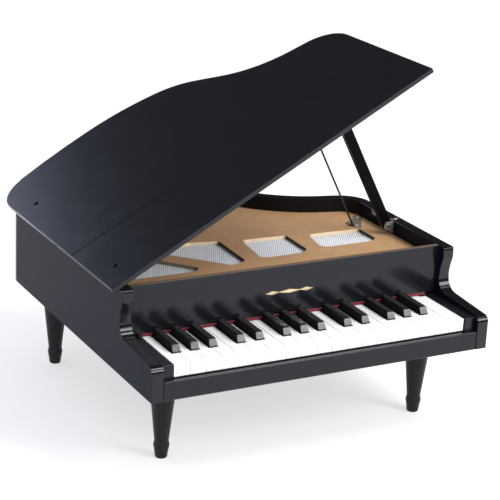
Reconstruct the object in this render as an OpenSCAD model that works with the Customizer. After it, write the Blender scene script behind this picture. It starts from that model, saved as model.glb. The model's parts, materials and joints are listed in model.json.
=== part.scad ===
/* [Case] */
// Width of the case across its two sides
case_w = 425; // [420:1:430]
// Overall depth, from the arm fronts to the lid's tail
overall_d = 450; // [448:1:452]
// Underside of the case above the floor
case_z = 100; // [96:1:104]
// Top edge of the case above the floor
top_z = 198; // [196:1:200]
// Thickness of the side boards and the bent rim
wall = 14; // [13:0.5:15]
// Top of the soundboard above the floor
board_z = 180.5; // [179:0.5:182]

/* [Lid] */
// Thickness of the lid
lid_t = 6; // [5:0.5:7]
// How far the lid stands out past the case all round
lid_over = 9; // [8.5:0.5:9.5]
// Angle the lid is propped open at
lid_open = 29; // [28:0.5:30]
// Distance of the lid's front edge behind the arm fronts
lid_front = 84; // [83:0.5:86]

/* [Keyboard] */
// Spacing of the white keys
key_pitch = 19.32; // [19.2:0.02:19.4]
// Top of the white keys above the floor
key_top = 137.5; // [137:0.5:138]
// Height of a black key above the white ones
black_rise = 9; // [8:0.5:10]

/* [Legs] */
// Radius of a leg where it meets the case
leg_r = 17; // [15:0.5:18]
// Radius of a leg at the ring above its foot
leg_ring_r = 9.1; // [8.6:0.1:9.6]

/* [Prop] */
// Width of the prop stick
stick_w = 12; // [11:0.5:12]
// Depth of the prop stick
stick_d = 9; // [8:0.5:9]
// Diameter of the wire stay
wire_d = 2.4; // [1.6:0.2:2.4]

/* [Hidden] */
$fn = 48;
slack = 0.05;
half = case_w / 2;
inner = half - wall;
side_y = 397;

// the frame's origin is under the middle of the outer box, at floor level
axis_x = -half - 1;
axis_z = top_z + 1;
lid_low_x = axis_x - (lid_over - 1) * cos(lid_open) - lid_t * sin(lid_open);
mid_x = (half + lid_low_x) / 2;

// keys: 32 notes from F, in octaves of seven equal-width tails over four white keys and five over three
notes = 32;
whites = 19;
keys_half = whites * key_pitch / 2;
is_white = [1, 0, 1, 0, 1, 0, 1, 1, 0, 1, 0, 1];
white_no = [0, 0, 1, 1, 2, 2, 3, 4, 4, 5, 5, 6];
key_gap = 0.45;
tail_gap = 1;
key_front = 7.7;
key_low = 123;
tail_low = 124;
tail_top = 136;
tail_end = 172;
hammer_top = 143.3;
notch_y = 35.5;
black_y = 36.2;
show_y = 88;
rod_y = 120;
rod_z = 130;
rod_r = 1.5;

function octave(k) = floor(k / 12);
function step(k) = k % 12;
function white(k) = is_white[step(k)] == 1;
function tail_w(k) = (step(k) < 7 ? 4 / 7 : 3 / 5) * key_pitch;
function tail_x(k) = octave(k) * 7 * key_pitch - keys_half
    + (step(k) < 7 ? step(k) + 0.5 : 7 + step(k) - 6.5) * tail_w(k)
    + (step(k) < 7 ? 0 : 4 * key_pitch - 7 * tail_w(k));
function head_x(k) = (octave(k) * 7 + white_no[step(k)] + 0.5) * key_pitch - keys_half;
function nn(k) = k < 9 ? str("0", k + 1) : str(k + 1);
function key_name(k) = str(white(k) ? "white_key_" : "black_key_", nn(k));

// an outline is traced as runs of [radius, turn, length]: a turn is an arc, to the left when positive,
// and a turn of 0 is a straight of that length
lid_runs = [[46, 77, 0], [0, 0, 22], [140, -38.5, 0], [0, 0, 40], [105, 31.5, 0], [270, 20, 0], [620, 10, 0]];
arm_runs = [[0, 0, 31.5], [8.5, -86, 0], [0, 0, 62.5], [16, 86, 0], [52, 22, 0], [27, -40, 0]];
curve_step = 3.5;

function ahead(p, h, d) = [p[0] + d * cos(h), p[1] + d * sin(h)];
function left_of(p, h, d) = [p[0] - d * sin(h), p[1] + d * cos(h)];
// points along one run from p at heading h, drawn at an inset to its left
function run_points(p, h, run, inset) =
    run[1] == 0 ? [left_of(ahead(p, h, run[2]), h, inset)] :
    let (s = sign(run[1]), c = left_of(p, h, s * run[0]), n = ceil(abs(run[1]) / curve_step))
    [for (i = [1:n]) left_of(c, h + run[1] * i / n, inset - s * run[0])];
function run_end(p, h, run) =
    run[1] == 0 ? ahead(p, h, run[2]) :
    let (s = sign(run[1]), c = left_of(p, h, s * run[0])) left_of(c, h + run[1], -s * run[0]);
function trace(p, h, runs, inset, i = 0) = i == len(runs) ? [] :
    concat(run_points(p, h, runs[i], inset),
        trace(run_end(p, h, runs[i]), h + runs[i][1], runs, inset, i + 1));

// the lid's outline turns from the treble side round the tail; its last corner closes on the bass side
lid_half = half + lid_over;
tail_r = 44.3;
tail_from = 103.5;
apex = trace([lid_half, 0], 90, [for (i = [0:5]) lid_runs[i]], 0);
right_y = overall_d - apex[len(apex) - 1][1];
function curve(inset) = let (c = [-lid_half + tail_r, side_y - 1], turn = 180 - tail_from, n = 22)
    concat([[lid_half - inset, right_y]], trace([lid_half, right_y], 90, lid_runs, inset),
        [for (i = [0:n], a = tail_from + turn * i / n) c + (tail_r - inset) * [cos(a), sin(a)]]);
module plan(inset, y) {
    polygon(concat([[-lid_half + inset, y], [lid_half - inset, y]], curve(inset)));
}

function reversed(v) = [for (i = [len(v) - 1:-1:0]) v[i]];
module place() { translate([-mid_x, -overall_d / 2, 0]) children(); }
module slab(lo, hi) { translate(lo) cube(hi - lo); }
module along_x(x0, x1, y, z, r) { translate([x0, y, z]) rotate([0, 90, 0]) cylinder(r = r, h = x1 - x0); }
module along_y(x, y0, y1, z, r) { translate([x, y0, z]) rotate([-90, 0, 0]) cylinder(r = r, h = y1 - y0); }
module yz_plate(x0, x1, pts) {
    translate([x0, 0, 0]) rotate([90, 0, 90]) linear_extrude(x1 - x0) polygon(pts);
}

hinge_ys = [123, 359];
leaf_len = 24;
leaf_t = 0.8;
leaf_top = top_z - 0.3;

// tab of the prop bracket, let into the top of the right side
tab_y = 193;
tab_w = 6;
tab_end = 208;

// screws, each as [place under its head, turn from pointing down, head radius, shank radius, shank length]
hinge_screws = [for (y = hinge_ys, dy = [-7, 7]) [[-204.5, y + dy, leaf_top], [0, 0, 0], 1.7, 0.8, 9]];
prop_screws = [
    [[inner - 1, 208, 189], [0, -90, 0], 1.9, 0.9, 8],
    [[inner - 1, 232, 194.5], [0, -90, 0], 1.6, 0.9, 8],
    [[205, 196, leaf_top], [0, 0, 0], 1.9, 0.9, 8]];
stay_plate = [172.5, 232.5, board_z];
stay_turn = 58;
stay_screws = [for (d = [0, 33])
    [stay_plate + [d * cos(stay_turn), d * sin(stay_turn), 1], [0, 0, 0], 2, 0.9, 3.6]];
side_screws = [for (s = [-1, 1], y = [30, 150, 250])
    [[s * (half - wall / 2), y, case_z], [180, 0, 0], 3, 1.4, 14]];
rim_screws = [for (p = [[-120, 430], [-20, 427]]) [[p[0], p[1], case_z], [180, 0, 0], 3, 1.4, 14]];
screws = concat(hinge_screws, prop_screws, stay_screws, side_screws, rim_screws);
module screw(s) {
    translate(s[0]) rotate(s[1]) {
        translate([0, 0, -s[4]]) cylinder(r = s[3], h = s[4] + 0.01);
        cylinder(r = s[2], h = 0.9);
    }
}
module screw_holes() { for (s = screws) translate(s[0]) rotate(s[1])
    translate([0, 0, -s[4] - 0.2]) cylinder(r = s[3] + slack, h = s[4] + 2); }

// arm outline, from the front edge of the underside up to the top
arm = concat([[0, case_z]], [for (p = trace([0, case_z], 90, arm_runs, 0)) [p[0], min(p[1], top_z)]]);
module hinge_notch(y, gap, r) { along_y(axis_x, y - leaf_len / 2 - gap, y + leaf_len / 2 + gap, axis_z, r); }
module side(x0, x1, y_end) {
    yz_plate(x0, x1, concat(arm, [[y_end, top_z], [y_end, case_z]]));
}
module left_side() {
    color("#15161a") place() difference() {
        side(-half, -inner, side_y - 1);
        for (y = hinge_ys) {
            hinge_notch(y, 0.4, 2.2);
            slab([axis_x, y - leaf_len / 2 - 0.1, top_z - leaf_t - 0.02],
                [-201.4, y + leaf_len / 2 + 0.1, top_z + 1]);
        }
        screw_holes();
    }
}
module right_side() {
    color("#15161a") place() difference() {
        side(inner, half, right_y);
        slab([inner - 1, tab_y, top_z - 0.9], [tab_end, tab_y + tab_w, top_z + 1]);
        screw_holes();
    }
}
module bent_rim() {
    color("#15161a") place() difference() {
        translate([0, 0, case_z]) linear_extrude(top_z - case_z)
            polygon(concat(curve(lid_over), reversed(curve(lid_over + wall))));
        screw_holes();
    }
}

board_gap = 0.2;
floor_t = 6;
module bottom_board() {
    color("#1b1a19") place() difference() {
        union() {
            translate([0, 0, case_z]) linear_extrude(floor_t) plan(lid_over + wall + board_gap, 6.6);
            slab([-184, 14, case_z + floor_t - 0.01], [184, 30, 116]);
            slab([-184, 140, case_z + floor_t - 0.01], [184, 150, 120]);
        }
        screw_holes();
        for (p = leg_places) translate([p[0], p[1], case_z - 1]) cylinder(r = 3 + slack, h = floor_t + 2);
    }
}

// windows in the soundboard, as corner lists rounded by their corner radius
window_r = 7;
window_sharp_r = 3;
windows = [[[-163, 153], [-88, 153], [-80, 164], [-118, 207], [-163, 207]],
    [[-40, 158], [-18, 166], [-16, 240], [-50, 246], [-95, 246], [-96, 218]],
    [[4, 172], [12, 167], [60, 168], [70, 178], [71, 231], [11, 234]],
    [[91, 182], [99, 176], [160, 177], [170, 184], [170, 223], [98, 225]]];
function unit(v) = v / norm(v);
function corner(w, i, r) = let (n = len(w), p = w[i],
    a = unit(w[(i + n - 1) % n] - p), b = unit(w[(i + 1) % n] - p),
        t = acos(a * b) / 2, c = p + unit(a + b) * r / sin(t), h0 = atan2(-a[1], -a[0]), d = 180 - 2 * t)
    [for (j = [0:5]) let (h = h0 + d * j / 5) [c[0] + r * sin(h), c[1] - r * cos(h)]];
function rounded(w) = [for (i = [0:len(w) - 1]) each corner(w, i, i % 2 == 0 ? window_sharp_r : window_r)];
module soundboard() {
    color("#a77f52") place() difference() {
        translate([0, 0, board_z - 4]) linear_extrude(4) difference() {
            plan(lid_over + wall + board_gap, 97.4);
            for (w = windows) polygon(rounded(w));
        }
        screw_holes();
    }
}
module grille_cloth() {
    color("#e6e9ee") place() slab([-172, 142, board_z - 4.8], [178, 254, board_z - 4.1]);
}

fall_y = 91;
fall_low = 140.8;
module fallboard() {
    color("#202227") place() slab([-inner + 0.1, fall_y, fall_low], [inner - 0.1, fall_y + 6, top_z]);
}
module fallboard_inlay() {
    color("#d8b65c") place() for (s = [[-22, 9], [0, 15], [22, 9]])
        translate([s[0] - 1, fall_y - 0.35, 167]) rotate([-90, 0, 0]) linear_extrude(0.32)
            polygon([[-s[1], 0], [0, -2.2], [s[1], 0], [0, 2.2]]);
}
module name_felt() {
    color("#8c1420") place()
        slab([-keys_half, fall_y - 1.6, key_top + 0.8], [keys_half, fall_y + 6, fall_low]);
}
module keyslip() {
    color("#1d1e22") place() slab([-inner + 0.4, 0.3, case_z], [inner - 0.4, 6.3, 122]);
}
block_x = 184.6;
module key_blocks() {
    color("#15161a") place() for (s = [0, 1]) mirror([s, 0, 0]) difference() {
        slab([block_x, 6.8, case_z + floor_t], [inner - 0.2, 131, 138]);
        along_x(block_x - 1, inner + 1, rod_y, rod_z, rod_r + slack);
    }
}
module key_rod() {
    color("#b9bcc2") place() along_x(-196, 196, rod_y, rod_z, rod_r);
}
module key_felts() {
    color("#7c1a22") place() {
        slab([-183, 16, 116], [183, 28, 118.2]);
        slab([-183, 141, 120], [183, 149, 123.8]);
    }
}
spring_y = 110;
module key_springs() {
    color("#9a9da3") place() for (k = [0:notes - 1])
        translate([tail_x(k), spring_y, case_z + floor_t]) difference() {
        cylinder(r = 2.4, h = 17.3, $fn = 24);
        translate([0, 0, -1]) cylinder(r = 1.8, h = 20, $fn = 24);
    }
}
// tubes get shorter to the right; each rests on two rails near its still points
function tube_len(k) = 176 - 2.5 * k;
tube_y = 157;
tube_z = 150;
tube_r = 4.2;
rail_front_y = 190;
module tone_tubes() {
    color("#c9ccd1") place() for (k = [0:notes - 1]) difference() {
        along_y(tail_x(k), tube_y, tube_y + tube_len(k), tube_z, tube_r);
        along_y(tail_x(k), tube_y - 1, tube_y + tube_len(k) + 1, tube_z, tube_r - 0.8);
    }
}
module tube_rails() {
    color("#b48a5a") place() {
        slab([-185, rail_front_y - 4, case_z + floor_t], [185, rail_front_y + 4, tube_z - tube_r]);
        translate([0, 264, case_z + floor_t]) rotate([0, 0, -9.2])
            slab([-186, -4, 0], [176, 4, tube_z - tube_r - case_z - floor_t]);
    }
}

leg_places = [[-165.5, 70], [165.5, 70], [-174.5, 364]];
leg_profile = [[0, 0], [5.6, 0], [6.6, 0.5], [7, 1.4], [7.6, 6], [8.6, 12],
    [leg_ring_r, 14.6], [leg_ring_r, 16.2],
    [8.5, 18.4], [8.1, 20.5], [12.3, 60], [leg_r, case_z - 0.1], [0, case_z - 0.1]];
module legs() {
    color("#17171a") place() for (p = leg_places) translate([p[0], p[1], 0]) {
        rotate_extrude() polygon(leg_profile);
        translate([0, 0, case_z - 0.2]) cylinder(r = 3, h = floor_t + 0.2);
    }
}
module case_screws() { color("#c4c6ca") place() for (s = screws) screw(s); }

// lid hinges: barrels in three, the middle one on the lid's leaf
barrel_r = 1.8;
pin_r = 0.8;
third = leaf_len / 3;
module hinge_case_leaves() {
    color("#8f9298") place() for (y = hinge_ys) difference() {
        union() {
            for (s = [-1, 1]) {
                y0 = y + s * third - third / 2 + 0.1;
                y1 = y + s * third + third / 2 - 0.1;
                along_y(axis_x, y0, y1, axis_z, barrel_r);
                slab([axis_x, y0, top_z - leaf_t], [-205, y1, leaf_top]);
            }
            slab([-210.9, y - leaf_len / 2 + 0.1, top_z - leaf_t],
                [-201.5, y + leaf_len / 2 - 0.1, leaf_top]);
        }
        along_y(axis_x, y - 20, y + 20, axis_z, pin_r + slack);
        screw_holes();
    }
}
module hinge_pins() {
    color("#a7aab0") place() for (y = hinge_ys)
        along_y(axis_x, y - leaf_len / 2, y + leaf_len / 2, axis_z, pin_r);
}

// the lid's own frame: X runs along the lid from the hinge axis, Z is its thickness
module on_lid() { place() translate([axis_x, 0, axis_z]) rotate([0, -lid_open, 0]) children(); }
bolt_s = 15.5;
groove_y = 198;
lid_groove = 0.8;
module lid() {
    color("#1a1b20") on_lid() difference() {
        translate([-axis_x, 0, 0]) linear_extrude(lid_t) plan(0, lid_front);
        translate([-lid_half, groove_y, lid_t]) rotate([90, 0, 90]) linear_extrude(4 * lid_half)
            polygon([[-lid_groove, 0.01], [0, -lid_groove], [lid_groove, 0.01]]);
        for (y = hinge_ys) {
            along_y(0, y - leaf_len / 2 - 0.3, y + leaf_len / 2 + 0.3, 0, 2.2);
            slab([0, y - leaf_len / 2 - 0.1, -1], [20.1, y + leaf_len / 2 + 0.1, leaf_t + 0.02]);
            translate([bolt_s, y, -1]) cylinder(r = 1.2 + slack, h = lid_t + 2);
        }
    }
}
module hinge_lid_leaves() {
    color("#8f9298") on_lid() for (y = hinge_ys) difference() {
        union() {
            along_y(0, y - third / 2 + 0.1, y + third / 2 - 0.1, 0, barrel_r);
            slab([0, y - third / 2 + 0.1, 0], [8, y + third / 2 - 0.1, leaf_t]);
            slab([2.6, y - leaf_len / 2, 0], [20, y + leaf_len / 2, leaf_t]);
        }
        along_y(0, y - 20, y + 20, 0, pin_r + slack);
        translate([bolt_s, y, -1]) cylinder(r = 1.2 + slack, h = lid_t + 2);
    }
}
bolt_head_r = 3.3;
module lid_bolts() {
    color("#101114") on_lid() for (y = hinge_ys) translate([bolt_s, y, 0.2]) {
        cylinder(r = 1.2, h = lid_t - 0.1);
        translate([0, 0, lid_t - 0.2]) intersection() {
            cylinder(r = bolt_head_r, h = 1.4);
            translate([0, 0, -3.7]) sphere(r = 5);
        }
    }
}

// prop stick: pivots on the right side, leans against the underside of the lid
stick_x = 191.4;
stick_z = 192;
stick_y = 191.5;
stick_lean = 27.9;
stick_gap = 0.8;
// length from a pivot to the underside of the lid, for a prop that leans this far
function reach(x, z, lean) =
    ((axis_z - z) + (x - axis_x) * tan(lid_open)) / (cos(lean) + sin(lean) * tan(lid_open));
stick_len = reach(stick_x, stick_z, stick_lean) - stick_gap;
pin_pivot_r = 1.5;
module prop_stick() {
    color("#131316") place() translate([stick_x, stick_y, stick_z]) rotate([0, -stick_lean, 0]) difference() {
        union() {
            slab([-stick_w / 2, 0, 0], [stick_w / 2, stick_d, stick_len]);
            along_y(0, 0, stick_d, 0, 5);
            slab([-5, 0, 0], [5, stick_d, 6]);
        }
        along_y(0, -1, stick_d + 1, 0, pin_pivot_r + slack);
    }
}
ear_t = 1;
ear_gap = 0.3;
ear_front = stick_y - ear_gap - ear_t;
pin_head_r = 2.2;
module ear(y) {
    translate([0, y, 0]) rotate([90, 0, 0]) translate([0, 0, -ear_t]) linear_extrude(ear_t)
        polygon([[inner - 0.5, 182.5], [inner - 0.5, 197], [188.5, 197], [186.6, 195.5],
            [185.8, 193.5], [185.8, 190.5], [187, 187.8]]);
}
module prop_bracket() {
    color("#8b8e94") place() difference() {
        union() {
            slab([inner - 1, ear_front, 181.5], [inner - 0.02, 213, top_z - 0.3]);
            slab([inner - 1, 212, 191.5], [inner - 0.02, 240, 197.5]);
            slab([inner - 1, tab_y + 0.1, top_z - 0.9], [tab_end - 0.1, tab_y + tab_w - 0.1, leaf_top]);
            ear(ear_front);
            ear(stick_y + stick_d + ear_gap);
        }
        along_y(stick_x, 180, 210, stick_z, pin_pivot_r + slack);
        screw_holes();
    }
}
module prop_pin() {
    color("#c9ccd1") place() {
        along_y(stick_x, ear_front - 0.01, stick_y + stick_d + ear_gap + ear_t + 0.4, stick_z, pin_pivot_r);
        along_y(stick_x, ear_front - 1, ear_front - 0.01, stick_z, pin_head_r);
    }
}

// wire stay: a bent rod whose foot turns in a saddle on the soundboard
stay_x = 167;
stay_y = 233;
stay_z = board_z + wire_d / 2 + 0.25;
stay_lean = 27.2;
stay_foot = 14;
stay_gap = 1.2;
stay_len = reach(stay_x, stay_z, stay_lean) - stay_gap;
module wire_stay() {
    color("#111113") place() translate([stay_x, stay_y, stay_z]) rotate([0, -stay_lean, 0]) {
        cylinder(r = wire_d / 2, h = stay_len);
        sphere(r = wire_d / 2);
        along_y(0, 0, stay_foot, 0, wire_d / 2);
        translate([0, 0, stay_len - 6]) cylinder(r = wire_d / 2 + 0.8, h = 6);
    }
}
module wire_bracket() {
    color("#a3a6ac") place() difference() {
        union() {
            translate(stay_plate) rotate([0, 0, stay_turn]) slab([-5, -5.5, 0], [38, 5.5, 1]);
            slab([stay_x, 237, board_z], [180, 245, board_z + 1]);
            intersection() {
                along_y(stay_x, 237, 245, stay_z, wire_d / 2 + 1);
                slab([stay_x - 5, 230, board_z], [stay_x + 5, 280, board_z + 9]);
            }
        }
        along_y(stay_x, 220, 290, stay_z, wire_d / 2 + slack);
        slab([stay_x - 3, 220, board_z - 1], [stay_x + wire_d / 2 + slack, 236.9, board_z + 4]);
        screw_holes();
    }
}

// keys: plan shape crossed with side shape, bored for the rod
module key_plan(k) {
    w = tail_w(k) - tail_gap;
    whole = k == notes - 1;
    if (white(k)) {
        translate([head_x(k) - (key_pitch - key_gap) / 2, key_front])
            square([key_pitch - key_gap, (whole ? show_y : notch_y) - key_front]);
        translate([tail_x(k) - w / 2, notch_y - 1]) square([w, tail_end - notch_y + 1]);
    } else translate([tail_x(k) - w / 2, black_y]) square([w, tail_end - black_y]);
}
hammer_end = [[tail_end, tail_low], [tail_end, tail_top],
    [170, hammer_top], [160, hammer_top], [158, tail_top]];
white_side = concat([[key_front, key_low], [30, key_low], [31, tail_low]], hammer_end,
    [[100, tail_top], [99, key_top], [key_front, key_top]]);
black_top = key_top + black_rise;
black_side = concat([[black_y, tail_low]], hammer_end,
    [[show_y, tail_top], [show_y, black_top], [41, black_top], [39.6, black_top - 1],
     [black_y + 0.1, key_top + 1.3], [black_y, key_top + 1]]);
// section of a black key: straight below, drawn in above the white keys
black_section = [[-6, 100], [6, 100], [6, tail_top], [4.7, key_top], [4, 160],
    [-4, 160], [-4.7, key_top], [-6, tail_top]];
module key(k) {
    color(white(k) ? "#f4f4f2" : "#17171a") place() difference() {
        intersection() {
            translate([0, 0, 100]) linear_extrude(60) key_plan(k);
            yz_plate(-half, half, white(k) ? white_side : black_side);
            if (!white(k)) translate([tail_x(k), tail_end + 1, 0]) rotate([90, 0, 0]) linear_extrude(tail_end)
                polygon(black_section);
        }
        along_x(-half, half, rod_y, rod_z, rod_r + slack);
    }
}

left_side();
right_side();
bent_rim();
bottom_board();
soundboard();
grille_cloth();
fallboard();
fallboard_inlay();
name_felt();
keyslip();
key_blocks();
key_rod();
key_felts();
key_springs();
tone_tubes();
tube_rails();
legs();
case_screws();
hinge_case_leaves();
hinge_pins();
prop_bracket();
prop_pin();
wire_bracket();
lid();
hinge_lid_leaves();
lid_bolts();
prop_stick();
wire_stay();
for (k = [0:notes - 1]) key(k);
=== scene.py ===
"""Looks for a miniature grand piano: rounded pieces, finishes, light and camera round its CAD frame."""

import json
import math

import bmesh
import bpy
from mathutils import Matrix, Vector, noise

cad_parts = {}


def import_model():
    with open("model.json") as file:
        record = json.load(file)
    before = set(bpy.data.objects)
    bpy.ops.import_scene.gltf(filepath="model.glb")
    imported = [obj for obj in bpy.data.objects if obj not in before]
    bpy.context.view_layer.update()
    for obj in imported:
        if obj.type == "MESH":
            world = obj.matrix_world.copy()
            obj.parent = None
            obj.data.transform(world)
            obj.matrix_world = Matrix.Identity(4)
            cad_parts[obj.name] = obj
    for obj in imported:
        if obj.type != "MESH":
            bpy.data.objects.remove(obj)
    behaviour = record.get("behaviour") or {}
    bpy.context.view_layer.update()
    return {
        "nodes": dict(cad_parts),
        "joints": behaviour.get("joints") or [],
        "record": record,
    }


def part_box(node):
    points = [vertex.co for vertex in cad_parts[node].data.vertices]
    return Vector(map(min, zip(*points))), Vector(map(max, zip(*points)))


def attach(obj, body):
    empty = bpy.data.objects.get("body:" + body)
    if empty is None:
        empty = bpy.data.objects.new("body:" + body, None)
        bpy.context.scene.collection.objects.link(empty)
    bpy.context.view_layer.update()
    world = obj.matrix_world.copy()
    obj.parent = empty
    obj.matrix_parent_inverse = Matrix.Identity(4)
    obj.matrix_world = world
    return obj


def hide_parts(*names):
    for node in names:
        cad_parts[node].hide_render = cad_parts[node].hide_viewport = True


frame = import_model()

MM = 0.001
NODES = frame["nodes"]
BODY_OF = {node: body for body, members in frame["record"]["behaviour"]["bodies"].items() for node in members}
KEYS = sorted(node for node in NODES if "_key_" in node)

HINGE = Vector(next(joint for joint in frame["joints"] if joint["child"] == "lid")["pos_m"])


# ---------------------------------------------------------------- materials


def finish_node(material, kind, **inputs):
    """A node of this kind in the material, with these values on its inputs."""
    node = material.node_tree.nodes.new(kind)
    for name, value in inputs.items():
        node.inputs[name].default_value = value
    return node


def join(material, output, socket):
    material.node_tree.links.new(output, socket)


def plain(name, colour, **settings):
    """A new Principled material and its shader."""
    material = bpy.data.materials.new(name)
    material.use_nodes = True
    shader = material.node_tree.nodes["Principled BSDF"]
    shader.inputs["Base Color"].default_value = (*colour, 1)
    for setting, value in settings.items():
        shader.inputs[setting.replace("_", " ")].default_value = value
    return material, shader


def coordinates(material, stretch=(1, 1, 1), turn=0):
    """The piece's own coordinates in metres, turned about Z and then stretched."""
    source = finish_node(material, "ShaderNodeTexCoord").outputs["Object"]
    mapping = finish_node(material, "ShaderNodeMapping")
    mapping.inputs["Rotation"].default_value = (0, 0, turn)
    mapping.inputs["Scale"].default_value = stretch
    join(material, source, mapping.inputs["Vector"])
    return mapping.outputs["Vector"]


def noise_of(material, scale, detail=3, stretch=(1, 1, 1), roughness=0.5):
    """Noise whose features are about 1/scale metres wide."""
    node = finish_node(material, "ShaderNodeTexNoise", Scale=scale, Detail=detail, Roughness=roughness)
    join(material, coordinates(material, stretch), node.inputs["Vector"])
    return node.outputs["Fac"]


def spread(material, value, low, high, start=0.3, end=0.7):
    """A value from 0 to 1 carried to low..high."""
    node = finish_node(material, "ShaderNodeMapRange")
    for name, number in (("From Min", start), ("From Max", end), ("To Min", low), ("To Max", high)):
        node.inputs[name].default_value = number
    join(material, value, node.inputs["Value"])
    return node.outputs["Result"]


def tones(material, value, *stops):
    """A colour ramp over (place, colour) stops."""
    node = finish_node(material, "ShaderNodeValToRGB")
    ramp = node.color_ramp
    while len(ramp.elements) < len(stops):
        ramp.elements.new(0.5)
    for element, (place, colour) in zip(ramp.elements, stops):
        element.position = place
        element.color = (*colour, 1)
    join(material, value, node.inputs["Fac"])
    return node.outputs["Color"]


def mixed(material, share, first, second):
    """Two colours mixed by a share from 0 to 1."""
    node = material.node_tree.nodes.new("ShaderNodeMix")
    node.data_type = "RGBA"
    join(material, share, node.inputs["Factor"])
    join(material, first, node.inputs[6])
    join(material, second, node.inputs[7])
    return node.outputs[2]


def raised(material, shader, *layers):
    """Bump from (height, depth in mm) layers, one on another."""
    normal = None
    for height, depth in layers:
        node = finish_node(material, "ShaderNodeBump", Strength=1.0, Distance=depth * MM)
        join(material, height, node.inputs["Height"])
        if normal:
            join(material, normal, node.inputs["Normal"])
        normal = node.outputs["Normal"]
    join(material, normal, shader.inputs["Normal"])


LACQUER_IOR = 1.43
COOL_TINT = (0.9, 0.93, 1, 1)


def lacquer(name, colour, gloss, peel=0.006, wave=0.02, shine=0.5):
    """Sprayed satin lacquer: orange peel, a slow ripple, faint clouding and fine dust."""
    material, shader = plain(name, colour, IOR=LACQUER_IOR, Specular_IOR_Level=shine,
                             Specular_Tint=COOL_TINT)
    cloud = noise_of(material, 45, 4)
    dark = tuple(channel * 0.9 for channel in colour)
    light = tuple(channel * 1.12 for channel in colour)
    join(material, tones(material, cloud, (0.3, dark), (0.7, light)), shader.inputs["Base Color"])
    dust = noise_of(material, 2600, 2)
    smudge = spread(material, cloud, gloss * 0.95, gloss * 1.08)
    speck = spread(material, dust, 0, 0.05, 0.62, 0.8)
    total = finish_node(material, "ShaderNodeMath")
    join(material, smudge, total.inputs[0])
    join(material, speck, total.inputs[1])
    join(material, total.outputs["Value"], shader.inputs["Roughness"])
    raised(material, shader, (noise_of(material, 900, 2), peel), (noise_of(material, 28, 2), wave))
    return material


def fibreboard(name, face, edge):
    """Pressed wood fibre: mottled face with short fibres. Its cut faces are pale cream, partly the cut
    fibre's own colour and partly painted light, and the more a cut face turns towards X, the more near-black
    painted shade it carries."""
    material, shader = plain(name, face, Roughness=0.8)
    flecks = noise_of(material, 1100, 5, (1, 0.45, 1), 0.65)
    patches = noise_of(material, 75, 5)
    dark = tuple(channel * 0.72 for channel in face)
    light = tuple(channel * 1.25 for channel in face)
    fine = tones(material, flecks, (0.32, dark), (0.5, face), (0.68, light))
    broad = tones(material, patches, (0.3, tuple(channel * 0.86 for channel in face)),
                  (0.7, tuple(channel * 1.1 for channel in face)))
    half = finish_node(material, "ShaderNodeValue")
    half.outputs[0].default_value = 0.5
    top = mixed(material, half.outputs[0], fine, broad)
    # cut faces: pale cream, partly the fibre's own colour and partly painted light
    sides = tones(material, noise_of(material, 1400, 4, (1, 1, 0.3)),
                  (0.3, tuple(channel * 0.85 for channel in edge)), (0.7, edge))
    upright = material.node_tree.nodes.new("ShaderNodeSeparateXYZ")
    join(material, finish_node(material, "ShaderNodeTexCoord").outputs["Normal"], upright.inputs["Vector"])
    flat = finish_node(material, "ShaderNodeMath")
    flat.operation = "ABSOLUTE"
    join(material, upright.outputs["Z"], flat.inputs[0])
    across = finish_node(material, "ShaderNodeMath")
    across.operation = "ABSOLUTE"
    join(material, upright.outputs["X"], across.inputs[0])
    # painted shade: cut faces turned towards X are darkened to near black
    painted_shade_cuts = tones(material, patches, (0.3, tuple(channel * 0.05 for channel in face)),
                     (0.7, tuple(channel * 0.09 for channel in face)))
    cuts = mixed(material, across.outputs["Value"], sides, painted_shade_cuts)
    join(material, mixed(material, flat.outputs["Value"], cuts, top), shader.inputs["Base Color"])
    join(material, spread(material, flecks, 0.7, 0.9), shader.inputs["Roughness"])
    raised(material, shader, (flecks, 0.05), (patches, 0.05))
    return material


def felt(name, colour):
    """Matted wool fibres with a soft sheen."""
    material, shader = plain(name, colour, Roughness=0.95, Sheen_Weight=0.5, Sheen_Roughness=0.4)
    fibres = noise_of(material, 1500, 6, (1, 2.2, 1), 0.7)
    tufts = noise_of(material, 350, 4)
    dark = tuple(channel * 0.5 for channel in colour)
    light = tuple(min(1, channel * 1.45) for channel in colour)
    join(material, tones(material, fibres, (0.3, dark), (0.55, colour), (0.72, light)),
         shader.inputs["Base Color"])
    raised(material, shader, (fibres, 0.22), (tufts, 0.2))
    return material


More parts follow.
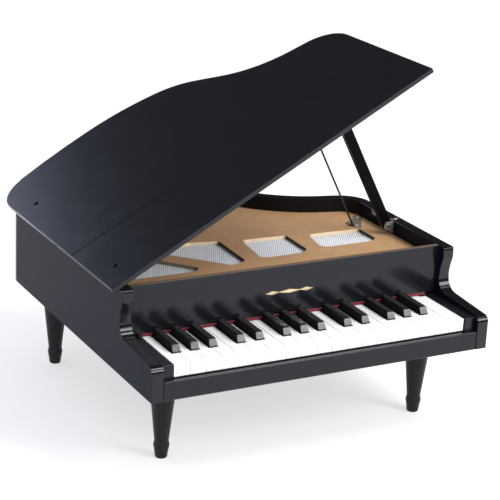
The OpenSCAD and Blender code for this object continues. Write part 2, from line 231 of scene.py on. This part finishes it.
def weave(name, rib, pitch, angle):
    """White grille cloth: cross threads over each rib, with painted shade darkening the gaps between ribs."""
    material, shader = plain(name, rib, Roughness=0.55, Sheen_Weight=0.25, Sheen_Roughness=0.3)
    along = coordinates(material, (1 / pitch, 1 / pitch, 1), angle)
    axes = material.node_tree.nodes.new("ShaderNodeSeparateXYZ")
    join(material, along, axes.inputs["Vector"])

    def wave_of(axis, turns):
        angle_of = finish_node(material, "ShaderNodeMath")
        angle_of.operation = "MULTIPLY"
        join(material, axes.outputs[axis], angle_of.inputs[0])
        angle_of.inputs[1].default_value = math.tau * turns
        cosine = finish_node(material, "ShaderNodeMath")
        cosine.operation = "COSINE"
        join(material, angle_of.outputs["Value"], cosine.inputs[0])
        return spread(material, cosine.outputs["Value"], 0, 1, -1, 1)

    across, threads = wave_of("X", 1), wave_of("Y", 3)
    # painted shade: the colour darkens to half in the gaps between ribs
    gap = tuple(channel * 0.5 for channel in rib)
    ribs = tones(material, across, (0.05, gap), (0.4, tuple(c * 0.85 for c in rib)), (0.8, rib))
    grey = tuple(channel * 0.85 for channel in rib)
    worn = tones(material, noise_of(material, 120, 3), (0.35, grey), (0.65, rib))
    shade = material.node_tree.nodes.new("ShaderNodeMix")
    shade.data_type, shade.blend_type = "RGBA", "MULTIPLY"
    shade.inputs["Factor"].default_value = 0.35
    join(material, ribs, shade.inputs[6])
    join(material, worn, shade.inputs[7])
    join(material, shade.outputs[2], shader.inputs["Base Color"])
    raised(material, shader, (threads, 0.02), (noise_of(material, 2500, 2), 0.02))
    return material


def plastic(name, colour, gloss, glow=0.0, shine=0.5):
    """Moulded plastic: a faint flow ripple and fine handling marks."""
    material, shader = plain(name, colour, IOR=1.46, Specular_IOR_Level=shine)
    shader.inputs["Subsurface Weight"].default_value = glow
    shader.inputs["Subsurface Radius"].default_value = (0.002, 0.0018, 0.0015)
    cloud = noise_of(material, 60, 3)
    dark = tuple(channel * 0.96 for channel in colour)
    join(material, tones(material, cloud, (0.3, dark), (0.7, colour)), shader.inputs["Base Color"])
    scuffs = noise_of(material, 500, 4, (1, 0.25, 1))
    join(material, spread(material, scuffs, gloss * 0.85, gloss * 1.3), shader.inputs["Roughness"])
    raised(material, shader, (noise_of(material, 40, 2), 0.02), (noise_of(material, 1800, 2), 0.002))
    return material


def metal(name, colour, gloss, grain=(1, 1, 1), metallic=1.0):
    """Worked metal: grain lines along one way, with duller patches."""
    material, shader = plain(name, colour, Metallic=metallic)
    lines = noise_of(material, 2200, 3, grain)
    patches = noise_of(material, 220, 3)
    dark = tuple(channel * 0.8 for channel in colour)
    join(material, tones(material, patches, (0.3, dark), (0.7, colour)), shader.inputs["Base Color"])
    join(material, spread(material, lines, gloss * 0.75, gloss * 1.35), shader.inputs["Roughness"])
    raised(material, shader, (lines, 0.006), (patches, 0.008))
    return material


def sawn_wood(name, colour):
    """Pale softwood with long grain and pores."""
    material, shader = plain(name, colour, Roughness=0.65)
    rings = noise_of(material, 140, 4, (0.08, 1, 1), 0.6)
    pores = noise_of(material, 1500, 3, (0.06, 1, 1))
    dark = tuple(channel * 0.62 for channel in colour)
    join(material, tones(material, rings, (0.35, colour), (0.6, dark), (0.65, colour)),
         shader.inputs["Base Color"])
    raised(material, shader, (pores, 0.04), (rings, 0.05))
    return material


RIB_PITCH = 2.4 * MM
RIB_TURN = math.radians(26)
BLACK = (0.0075, 0.0075, 0.0085)
LOOKS = {
    "black_lacquer": lacquer("black_lacquer", BLACK, 0.15, wave=0.012, shine=0.38),
    "arm_lacquer": lacquer("arm_lacquer", (0.005, 0.005, 0.0055), 0.12, wave=0.012),
    # flat side faces: low shine, and a bluish base colour that is a painted cool reflection
    "side_lacquer": lacquer("side_lacquer", (0.004, 0.005, 0.011), 0.26, wave=0.012, shine=0.05),
    "rim_lacquer": lacquer("rim_lacquer", (0.006, 0.006, 0.0065), 0.3, wave=0.012, shine=0.16),
    "lid_lacquer": lacquer("lid_lacquer", (0.0065, 0.0065, 0.007), 0.17),
    "leg_lacquer": lacquer("leg_lacquer", (0.0065, 0.0065, 0.007), 0.38, shine=0.26),
    "stick_lacquer": lacquer("stick_lacquer", (0.0025, 0.0025, 0.003), 0.36, shine=0.05),
    # a fibreboard's last colour is its cut faces' pale tone, partly painted light; fibreboard() adds painted
    # shade on cut faces turned towards X
    "dark_board": fibreboard("dark_board", (0.035, 0.028, 0.024), (0.12, 0.085, 0.05)),
    "brown_board": fibreboard("brown_board", (0.45, 0.255, 0.12), (0.92, 0.72, 0.47)),
    "raw_edge": fibreboard("raw_edge", (0.13, 0.075, 0.04), (0.13, 0.075, 0.04)),
    "pale_wood": sawn_wood("pale_wood", (0.55, 0.36, 0.18)),
    "grille_fabric": weave("grille_fabric", (0.93, 0.95, 0.98), RIB_PITCH, RIB_TURN),
    "red_felt": felt("red_felt", (0.2, 0.004, 0.011)),
    # key felts coloured near black so the gap under the key fronts reads dark: painted shade
    "dark_felt": felt("dark_felt", (0.012, 0.012, 0.013)),
    "gold_inlay": metal("gold_inlay", (0.86, 0.7, 0.42), 0.3, (1, 0.1, 1)),
    "zinc": metal("zinc", (0.3, 0.26, 0.22), 0.42, (0.2, 1, 1), metallic=0.5),
    "steel": metal("steel", (0.52, 0.53, 0.55), 0.34, (0.1, 1, 1)),
    # screws: light grey and only partly metallic, so they look bright from diffuse light: painted highlight
    # over the metal's own colour
    "bright_screws": metal("bright_screws", (0.85, 0.85, 0.86), 0.25, metallic=0.35),
    "tube_aluminium": metal("tube_aluminium", (0.72, 0.73, 0.75), 0.28, (1, 0.05, 1)),
    "black_metal": metal("black_metal", (0.02, 0.02, 0.022), 0.35, metallic=0.4),
    "white_plastic": plastic("white_plastic", (0.87, 0.87, 0.865), 0.2, glow=0.08),
    "black_plastic": plastic("black_plastic", (0.006, 0.006, 0.0065), 0.22, shine=0.6),
    "black_key_sides": plastic("black_key_sides", (0.004, 0.004, 0.0045), 0.5, shine=0.05),
}


# ---------------------------------------------------------------- pieces


SMOOTH_BELOW = math.radians(42)


def piece(name, shape, body, slot, *nodes):
    """A new piece from a bmesh or a mesh, which stands for these CAD nodes."""
    mesh = shape
    if isinstance(shape, bmesh.types.BMesh):
        mesh = bpy.data.meshes.new(name)
        shape.to_mesh(mesh)
        shape.free()
    made = bpy.data.objects.new(name, mesh)
    bpy.context.scene.collection.objects.link(made)
    if not mesh.materials:
        mesh.materials.append(LOOKS[slot])
    for polygon in mesh.polygons:
        polygon.use_smooth = True
    mesh.set_sharp_from_angle(angle=SMOOTH_BELOW)
    made.modifiers.new("normals", "WEIGHTED_NORMAL").keep_sharp = True
    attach(made, body)
    if nodes:
        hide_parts(*nodes)
    return made


def welded(node):
    """A CAD node's mesh with its seams joined and its flat faces whole."""
    shape = bmesh.new()
    shape.from_mesh(NODES[node].data)
    bmesh.ops.remove_doubles(shape, verts=shape.verts, dist=0.003 * MM)
    bmesh.ops.dissolve_limit(shape, angle_limit=math.radians(0.4), verts=shape.verts, edges=shape.edges)
    return shape


def round_edges(shape, width, steps=3, wanted=None, sharper=32):
    """Rounds the sharp edges that wanted() picks."""
    def picked(edge):
        if len(edge.link_faces) != 2 or edge.calc_face_angle(0) < math.radians(sharper):
            return False
        return wanted is None or wanted(edge)

    edges = [edge for edge in shape.edges if picked(edge)]
    bmesh.ops.bevel(shape, geom=edges, offset=width, offset_type="OFFSET", segments=steps, profile=0.5,
                    affect="EDGES", clamp_overlap=False, miter_outer="ARC", loop_slide=True)
    bmesh.ops.remove_doubles(shape, verts=shape.verts, dist=0.002 * MM)
    bmesh.ops.recalc_face_normals(shape, faces=shape.faces)
    return shape


def refined(node, slot, width, steps=3, wanted=None):
    """A CAD node's piece with its arrises rounded."""
    shape = round_edges(welded(node), width, steps, wanted)
    return piece(node + "_finished", shape, BODY_OF[node], slot, node)


def dress(node, slot):
    """A CAD node shown as it is, in its finish."""
    materials = NODES[node].data.materials
    if materials:
        for index in range(len(materials)):
            materials[index] = LOOKS[slot]
    else:
        materials.append(LOOKS[slot])


def islands(node):
    """The separate solids of a node, each as a list of points."""
    shape = welded(node)
    seen, found = set(), []
    for start in shape.verts:
        if start in seen:
            continue
        group, waiting = [], [start]
        seen.add(start)
        while waiting:
            vertex = waiting.pop()
            group.append(vertex.co.copy())
            for edge in vertex.link_edges:
                other = edge.other_vert(vertex)
                if other not in seen:
                    seen.add(other)
                    waiting.append(other)
        found.append(group)
    shape.free()
    return found


def span(points):
    """Lowest and highest corner of some points."""
    return (Vector(min(p[i] for p in points) for i in range(3)),
            Vector(max(p[i] for p in points) for i in range(3)))


def ring(shape, profile, sides, place):
    """A turned shape: (radius, height) profile spun round the local Z of place, closed at the ends."""
    rows = []
    for radius, height in profile:
        if radius <= 0:
            rows.append([shape.verts.new(place @ Vector((0, 0, height)))] * sides)
            continue
        rows.append([shape.verts.new(place @ Vector((radius * math.cos(math.tau * i / sides),
                                                     radius * math.sin(math.tau * i / sides), height)))
                     for i in range(sides)])
    for low, high in zip(rows, rows[1:]):
        for i in range(sides):
            corners = [low[i], low[(i + 1) % sides], high[(i + 1) % sides], high[i]]
            whole = [c for n, c in enumerate(corners) if c not in corners[:n]]
            if len(whole) > 2:
                shape.faces.new(whole)
    return shape


def cut(body_shape, cutter_shape):
    """The first bmesh less the second, as a mesh."""
    objects = []
    for name, shape in (("cut_body", body_shape), ("cut_tool", cutter_shape)):
        bmesh.ops.recalc_face_normals(shape, faces=shape.faces)
        mesh = bpy.data.meshes.new(name)
        shape.to_mesh(mesh)
        shape.free()
        made = bpy.data.objects.new(name, mesh)
        bpy.context.scene.collection.objects.link(made)
        objects.append(made)
    solid, tool = objects
    modifier = solid.modifiers.new("cut", "BOOLEAN")
    modifier.operation, modifier.object, modifier.solver = "DIFFERENCE", tool, "EXACT"
    graph = bpy.context.evaluated_depsgraph_get()
    mesh = bpy.data.meshes.new_from_object(solid.evaluated_get(graph))
    for made in objects:
        bpy.data.objects.remove(made)
    return mesh


def block(shape, low, high):
    """Adds a box between two corners."""
    matrix = Matrix.Translation((low + high) / 2) @ Matrix.Diagonal((*(high - low), 1))
    bmesh.ops.create_cube(shape, size=1, matrix=matrix)


# ---------------------------------------------------------------- case


CREST_ROUND = 2.4 * MM


def arm_crest(shape):
    """The edge where a side's level top turns down into its arm."""
    top = max(vertex.co.z for vertex in shape.verts)
    level = [edge for edge in shape.edges
             if min(vertex.co.z for vertex in edge.verts) > top - 0.05 * MM
             and abs(edge.verts[0].co.y - edge.verts[1].co.y) < 0.01 * MM]
    return min(level, key=lambda edge: edge.verts[0].co.y)


def case():
    for node in ("left_side", "right_side"):
        shape = welded(node)
        crest = arm_crest(shape)
        bmesh.ops.bevel(shape, geom=[crest], offset=CREST_ROUND, offset_type="OFFSET", segments=6,
                        profile=0.5, affect="EDGES", clamp_overlap=False)
        round_edges(shape, 0.7 * MM, 3, lambda edge: edge.calc_length() > 1.5 * MM)
        side = piece(node + "_finished", shape, BODY_OF[node], "black_lacquer", node)
        side.data.materials[0] = LOOKS["arm_lacquer"]
        side.data.materials.append(LOOKS["side_lacquer"])
        # faces turned towards X take side_lacquer, whose bluish base colour is a painted reflection
        for polygon in side.data.polygons:
            if abs(polygon.normal.x) > 0.95:
                polygon.material_index = 1
    refined("bent_rim", "black_lacquer", 0.6 * MM, 3).data.materials[0] = LOOKS["rim_lacquer"]
    refined("keyslip", "black_lacquer", 1.3 * MM, 5)
    refined("key_blocks", "black_lacquer", 0.6 * MM, 3)
    refined("legs", "leg_lacquer", 0.35 * MM, 2)
    dress("bottom_board", "dark_board")
    dress("soundboard", "brown_board")
    fallboard()


def fallboard():
    """Lacquered board whose top edge is left as raw fibreboard."""
    made = refined("fallboard", "black_lacquer", 0.5 * MM, 3)
    made.data.materials.append(LOOKS["raw_edge"])
    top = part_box("fallboard")[1].z
    for polygon in made.data.polygons:
        if polygon.normal.z > 0.95 and abs(polygon.center.z - top) < 0.1 * MM:
            polygon.material_index = 1
    refined("fallboard_inlay", "gold_inlay", 0.08 * MM, 2)


def felts():
    """Felt strips with soft, slightly uneven edges."""
    # the key felts take dark_felt, whose near-black colour is painted shade in the gap under the keys
    for node, colour in (("name_felt", "red_felt"), ("key_felts", "dark_felt")):
        shape = round_edges(welded(node), 0.5 * MM, 3)
        long_edges = [edge for edge in shape.edges if edge.calc_length() > 20 * MM]
        bmesh.ops.subdivide_edges(shape, edges=long_edges, cuts=120, use_grid_fill=True)
        for vertex in shape.verts:
            shift = noise.noise(vertex.co * 420)
            vertex.co.z += 0.12 * MM * shift
        piece(node + "_finished", shape, BODY_OF[node], colour, node)


def grille():
    """Ribbed cloth stretched under the soundboard; its ribs run at RIB_TURN to the case's depth."""
    low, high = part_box("grille_cloth")
    steps, rows = 6, 10
    lean = math.tan(RIB_TURN)
    pitch = RIB_PITCH / math.cos(RIB_TURN)
    depth = high.y - low.y
    columns = (math.ceil((high.x - low.x + depth * lean) / pitch) + 1) * steps
    base, height = low.z + 0.25 * MM, 0.42 * MM
    start = math.floor((low.x - high.y * lean) / pitch) * pitch + low.y * lean
    shape = bmesh.new()
    grid = []
    for row in range(rows + 1):
        y = low.y + depth * row / rows
        line = []
        for column in range(columns + 1):
            x = start + pitch * column / steps + (y - low.y) * lean
            rib = abs(math.cos(math.pi * (column / steps)))
            slack = 0.08 * MM * noise.noise(Vector((x, y, 0)) * 25)
            line.append(shape.verts.new((x, y, base + height * rib ** 0.6 + slack)))
        grid.append(line)
    for near, far in zip(grid, grid[1:]):
        for i in range(columns):
            shape.faces.new((near[i], near[i + 1], far[i + 1], far[i]))
    for place, way in ((low, -1), (high, 1)):
        everything = shape.verts[:] + shape.edges[:] + shape.faces[:]
        bmesh.ops.bisect_plane(shape, geom=everything, dist=1e-7, plane_co=place, plane_no=(way, 0, 0),
                               clear_outer=True)
    cloth = piece("grille_cloth_finished", shape, BODY_OF["grille_cloth"], "grille_fabric", "grille_cloth")


def springs():
    """A coil spring in the place of each plain sleeve under the keys."""
    wire, turns, around, sides = 0.32 * MM, 7, 14, 6
    shape = bmesh.new()
    for points in islands("key_springs"):
        low, high = span(points)
        centre, radius = (low + high) / 2, (high.x - low.x) / 2 - wire
        count = turns * around
        rows = []
        for i in range(count + 1):
            turn = math.tau * i / around
            share = i / count
            eased = min(1, max(0, (share - 1 / turns) / (1 - 2 / turns)))
            height = low.z + wire + (high.z - low.z - 2 * wire) * eased
            out = Vector((math.cos(turn), math.sin(turn), 0))
            middle = Vector((centre.x, centre.y, height)) + out * radius
            rows.append([shape.verts.new(middle + out * wire * math.cos(math.tau * k / sides)
                                         + Vector((0, 0, wire * math.sin(math.tau * k / sides))))
                         for k in range(sides)])
        for near, far in zip(rows, rows[1:]):
            for k in range(sides):
                shape.faces.new((near[k], near[(k + 1) % sides], far[(k + 1) % sides], far[k]))
        shape.faces.new(rows[0])
        shape.faces.new(list(reversed(rows[-1])))
    bmesh.ops.recalc_face_normals(shape, faces=shape.faces)
    piece("key_springs_finished", shape, BODY_OF["key_springs"], "steel", "key_springs")


def cross(arm, slit, low, high, place):
    """A cross-shaped prism between two local heights."""
    quarter = [(arm, -slit), (arm, slit), (slit, slit)]
    line = [(x * math.cos(turn) - y * math.sin(turn), x * math.sin(turn) + y * math.cos(turn))
            for turn in (math.pi / 2 * step for step in range(4)) for x, y in quarter]
    shape = bmesh.new()
    rows = [[shape.verts.new(place @ Vector((x, y, height))) for x, y in line] for height in (low, high)]
    shape.faces.new(rows[0][::-1])
    shape.faces.new(rows[1])
    for i in range(len(line)):
        after = (i + 1) % len(line)
        shape.faces.new((rows[0][i], rows[0][after], rows[1][after], rows[1][i]))
    return shape


def screw(points):
    """A raised-head cross screw where a plain one lies: its place, as (solid, recess)."""
    low, high = span(points)
    size = high - low
    axis = max(range(3), key=lambda i: size[i])
    centre = (low + high) / 2
    head_r = max(size[i] for i in range(3) if i != axis) / 2
    across = [(p - centre) - Vector(((p - centre)[i] if i == axis else 0 for i in range(3))) for p in points]
    widest = [p for p, out in zip(points, across) if out.length > head_r * 0.95]
    narrow = [out.length for out in across if out.length < head_r * 0.8 and out.length > 0.1 * MM]
    shank_r = max(narrow) if narrow else head_r * 0.5
    top = sum(p[axis] for p in widest) / len(widest) > centre[axis]
    out = Vector((1.0 if i == axis else 0.0 for i in range(3))) * (1 if top else -1)
    head = Vector(centre)
    head[axis] = high[axis] if top else low[axis]
    place = Matrix.Translation(head) @ out.to_track_quat("Z", "Y").to_matrix().to_4x4()
    length, rim = size[axis], 0.9 * MM
    dome = [(head_r * math.cos(a), -rim * 0.72 + rim * 0.72 * math.sin(a))
            for a in (math.radians(d) for d in (0, 15, 30, 45, 60, 75))]
    solid = ring(bmesh.new(), [(0, -length), (shank_r, -length), (shank_r, -rim), (head_r * 0.97, -rim)]
                 + dome + [(0, 0)], 28, place)
    return solid, cross(head_r * 0.56, head_r * 0.13, -rim * 0.7, rim, place)


def screws():
    for number, points in enumerate(islands("case_screws")):
        solid, recess = screw(points)
        mesh = cut(solid, recess)
        made = piece(f"case_screw_{number + 1:02d}", mesh, "case", "bright_screws")
        mesh.materials.clear()
        mesh.materials.append(LOOKS["bright_screws"])
        if number == 0:
            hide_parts("case_screws")


def fittings():
    """Hinges, pins, brackets, rod and the inside parts."""
    for node in ("hinge_case_leaves", "hinge_lid_leaves", "prop_bracket", "wire_bracket"):
        slot = "zinc" if "bracket" in node else "steel"
        refined(node, slot, 0.12 * MM, 2, lambda edge: edge.calc_length() > 0.4 * MM)
    for node in ("hinge_pins", "prop_pin", "key_rod"):
        refined(node, "steel", 0.15 * MM, 2)
    refined("tone_tubes", "tube_aluminium", 0.15 * MM, 2)
    refined("tube_rails", "pale_wood", 0.5 * MM, 2)
    refined("wire_stay", "black_metal", 0.15 * MM, 2)
    refined("prop_stick", "stick_lacquer", 0.6 * MM, 3, lambda edge: edge.calc_length() > 2 * MM)
    refined("lid_bolts", "black_metal", 0.15 * MM, 2).data.materials[0] = LOOKS["stick_lacquer"]


# ---------------------------------------------------------------- lid


GROOVE_HALF = 0.8 * MM


def lid_place():
    """The lid's own frame: X along the lid from the hinge line, Z through its thickness."""
    flat = max(welded("lid").faces, key=lambda face: face.calc_area())
    normal = flat.normal if flat.normal.z > 0 else -flat.normal
    tilt = math.atan2(-normal.x, normal.z)
    return Matrix.Translation(HINGE) @ Matrix.Rotation(-tilt, 4, "Y")


def outline(shape, thickness):
    """The lid's edge line, walked from wall to wall round its upright edges."""
    uprights = {}
    for edge in shape.edges:
        a, b = (vertex.co for vertex in edge.verts)
        if abs(a.x - b.x) + abs(a.y - b.y) < 0.01 * MM and abs(a.z - b.z) > 0.98 * thickness:
            uprights[edge] = Vector((a.x, a.y))
    loops, left = [], set(uprights)
    while left:
        first = edge = left.pop()
        loop, face = [uprights[first]], first.link_faces[0]
        while True:
            edge = next((e for e in face.edges if e in uprights and e is not edge), None)
            if edge is None or edge is first:
                break
            left.discard(edge)
            loop.append(uprights[edge])
            face = next(f for f in edge.link_faces if f is not face)
        loops.append(loop)
    longest = max(loops, key=len)
    area = sum(a.x * b.y - b.x * a.y for a, b in zip(longest, longest[1:] + longest[:1]))
    return longest if area > 0 else longest[::-1]


def inset(loop, distance):
    """A closed line moved inwards, with mitred corners."""
    moved = []
    for before, here, after in zip(loop[-1:] + loop[:-1], loop, loop[1:] + loop[:1]):
        normals = []
        for a, b in ((before, here), (here, after)):
            way = (b - a).normalized()
            normals.append(Vector((-way.y, way.x)))
        total = normals[0] + normals[1]
        moved.append(here + total * (distance / max(0.3, 1 + normals[0].dot(normals[1]))))
    return moved


def lid():
    """The lid, with rounded arrises, a V groove across it and recesses for its hinge leaves."""
    place = lid_place()
    flat = welded("lid")
    bmesh.ops.transform(flat, matrix=place.inverted(), verts=flat.verts)
    thickness = max(vertex.co.z for vertex in flat.verts)
    edge_line = outline(flat, thickness)
    groove_depth, groove_y = find_groove(flat, thickness)
    flat.free()

    radius, steps = 0.8 * MM, 4
    rings = []
    for low_or_high in (0, 1):
        for i in range(steps + 1):
            angle = math.pi / 2 * (i if low_or_high else steps - i) / steps
            height = radius * (1 - math.sin(angle))
            height = thickness - height if low_or_high else height
            rings.append((radius * (1 - math.cos(angle)), height))
    shape = bmesh.new()
    rows = [[shape.verts.new((*point, height)) for point in inset(edge_line, distance)]
            for distance, height in rings]
    count = len(edge_line)
    for near, far in zip(rows, rows[1:]):
        for i in range(count):
            shape.faces.new((near[i], near[(i + 1) % count], far[(i + 1) % count], far[i]))
    shape.faces.new(rows[0])
    shape.faces.new(rows[-1])
    for offset in (-GROOVE_HALF, 0, GROOVE_HALF):
        everything = shape.verts[:] + shape.edges[:] + shape.faces[:]
        bmesh.ops.bisect_plane(shape, geom=everything, dist=1e-7, plane_co=(0, groove_y + offset, 0),
                               plane_no=(0, 1, 0))
    for vertex in shape.verts:
        if abs(vertex.co.y - groove_y) < 0.01 * MM and vertex.co.z > thickness - radius * 1.01:
            vertex.co.z -= groove_depth
    recesses = bmesh.new()
    for leaf in islands("hinge_lid_leaves"):
        low, high = span([place.inverted() @ p for p in leaf])
        gap = Vector((0.1, 0.15, 0.02)) * MM
        block(recesses, Vector((low.x, low.y, -2 * MM)) - gap, Vector((high.x, high.y, 0.8 * MM)) + gap)
    mesh = cut(shape, recesses)
    mesh.transform(place)
    mesh.materials.clear()
    mesh.materials.append(LOOKS["lid_lacquer"])
    piece("lid_finished", mesh, "lid", "lid_lacquer", "lid")


def find_groove(flat, thickness):
    """Depth and place of the groove: the lowest line cut into the upper face."""
    dips = [v.co for v in flat.verts if thickness * 0.8 < v.co.z < thickness - 0.2 * MM]
    return thickness - min(p.z for p in dips), sum(p.y for p in dips) / len(dips)


# ---------------------------------------------------------------- keys


# height of a black key's body that lies below its visible front
BLACK_KEY_HIDDEN = 15.1 * MM


def keys():
    """White keys with softly rounded caps; black ones with broad arrises, polished fronts and dull sides."""
    for node in KEYS:
        if node.startswith("white"):
            refined(node, "white_plastic", 0.45 * MM, 3, lambda edge: edge.calc_length() > 1.5 * MM)
            continue
        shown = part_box(node)[0].z + BLACK_KEY_HIDDEN
        shape = round_edges(welded(node), 1.5 * MM, 5,
                            lambda edge: min(v.co.z for v in edge.verts) > shown)
        made = piece(node + "_finished", shape, BODY_OF[node], "black_plastic", node)
        made.data.materials.append(LOOKS["black_key_sides"])
        for polygon in made.data.polygons:
            if abs(polygon.normal.x) > 0.9:
                polygon.material_index = 1


# ---------------------------------------------------------------- studio


FLOOR_GLOW = 0.55
FLOOR_HALF = 9


def floor():
    mesh = bpy.data.meshes.new("floor")
    half = FLOOR_HALF
    mesh.from_pydata([(-half, -half, 0), (half, -half, 0), (half, half, 0), (-half, half, 0)],
                     [], [(0, 1, 2, 3)])
    made = bpy.data.objects.new("floor", mesh)
    bpy.context.scene.collection.objects.link(made)
    material, shader = plain("floor_paper", (0.5, 0.5, 0.5), Roughness=0.7)
    shader.inputs["Emission Color"].default_value = (1, 1, 1, 1)
    shader.inputs["Emission Strength"].default_value = FLOOR_GLOW
    paper = noise_of(material, 300, 3)
    join(material, tones(material, paper, (0.3, (0.49, 0.49, 0.49)), (0.7, (0.51, 0.51, 0.51))),
         shader.inputs["Base Color"])
    mesh.materials.append(material)


def softbox(name, place, target, size, watts, colour=(1, 1, 1)):
    light = bpy.data.lights.new(name, "AREA")
    light.shape, light.size, light.size_y = "RECTANGLE", size[0], size[1]
    light.energy, light.color = watts, colour
    made = bpy.data.objects.new(name, light)
    bpy.context.scene.collection.objects.link(made)
    made.location = place
    made.rotation_euler = (Vector(target) - Vector(place)).to_track_quat("-Z", "Y").to_euler()


WALL_SLANT = 1.0
FILL = (0.86, 0.87, 0.89)


def world():
    """Plain white to the camera and an even fill on surfaces; what shines sees a bright wall to the left
    and a dim room to the right and above."""
    sky = bpy.data.worlds.new("studio")
    bpy.context.scene.world = sky
    sky.use_nodes = True
    tree = sky.node_tree
    background = tree.nodes["Background"]
    way = tree.nodes.new("ShaderNodeTexCoord")
    axes = tree.nodes.new("ShaderNodeSeparateXYZ")
    tree.links.new(way.outputs["Generated"], axes.inputs["Vector"])
    across = tree.nodes.new("ShaderNodeMath")
    across.operation = "MULTIPLY_ADD"
    across.inputs[1].default_value = WALL_SLANT
    tree.links.new(axes.outputs["X"], across.inputs[0])
    tree.links.new(axes.outputs["Z"], across.inputs[2])
    ramp = tree.nodes.new("ShaderNodeValToRGB")
    stops = ((0.0, (1.5, 1.65, 2.2)), (0.33, (1.5, 1.65, 2.2)), (0.39, (0.2, 0.22, 0.3)),
             (0.43, (0.05, 0.052, 0.06)), (1.0, (0.04, 0.04, 0.043)))
    while len(ramp.color_ramp.elements) < len(stops):
        ramp.color_ramp.elements.new(0.5)
    for element, (height, colour) in zip(ramp.color_ramp.elements, stops):
        element.position, element.color = height, (*colour, 1)
    tree.links.new(across.outputs["Value"], ramp.inputs["Fac"])
    seen = tree.nodes.new("ShaderNodeLightPath")
    shown = ramp.outputs["Color"]
    for ray, colour in (("Is Diffuse Ray", FILL), ("Is Camera Ray", (1, 1, 1))):
        choice = tree.nodes.new("ShaderNodeMix")
        choice.data_type = "RGBA"
        choice.inputs[7].default_value = (*colour, 1)
        tree.links.new(seen.outputs[ray], choice.inputs["Factor"])
        tree.links.new(shown, choice.inputs[6])
        shown = choice.outputs[2]
    tree.links.new(shown, background.inputs["Color"])


LENS, SENSOR = 124.42, 36
VIEWPOINT = (-0.91526, -1.72279, 0.84144)
# degrees round the object from the front, up from the floor, and of roll
VIEW_ANGLES = (-28.61, 18.89, 2.75)


def camera():
    """The photograph's viewpoint."""
    data = bpy.data.cameras.new("camera")
    data.lens, data.sensor_width = LENS, SENSOR
    data.clip_start, data.clip_end = 0.05, 60
    made = bpy.data.objects.new("camera", data)
    bpy.context.scene.collection.objects.link(made)
    around, height, roll = (math.radians(degrees) for degrees in VIEW_ANGLES)
    back = Vector((math.sin(around) * math.cos(height), -math.cos(around) * math.cos(height),
                   math.sin(height)))
    right = Vector((0, 0, 1)).cross(back).normalized()
    up = back.cross(right)
    across = math.cos(roll) * right + math.sin(roll) * up
    upright = math.cos(roll) * up - math.sin(roll) * right
    turn = Matrix((across, upright, back)).transposed()
    made.matrix_world = Matrix.Translation(VIEWPOINT) @ turn.to_4x4()
    bpy.context.scene.camera = made


LIT_POINT = (0, 0, 0.15)
# name, place, size in metres and power in watts
LIGHTS = (("key_light", (1.25, -1.95, 1.5), (1.15, 1.1), 42),
          ("top_light", (0.95, -0.8, 2.05), (0.8, 0.7), 22))


def studio():
    floor()
    world()
    camera()
    for name, place, size, power in LIGHTS:
        softbox(name, place, LIT_POINT, size, power)
    bpy.context.scene.view_settings.view_transform = "Standard"


case()
felts()
grille()
springs()
screws()
fittings()
lid()
keys()
studio()
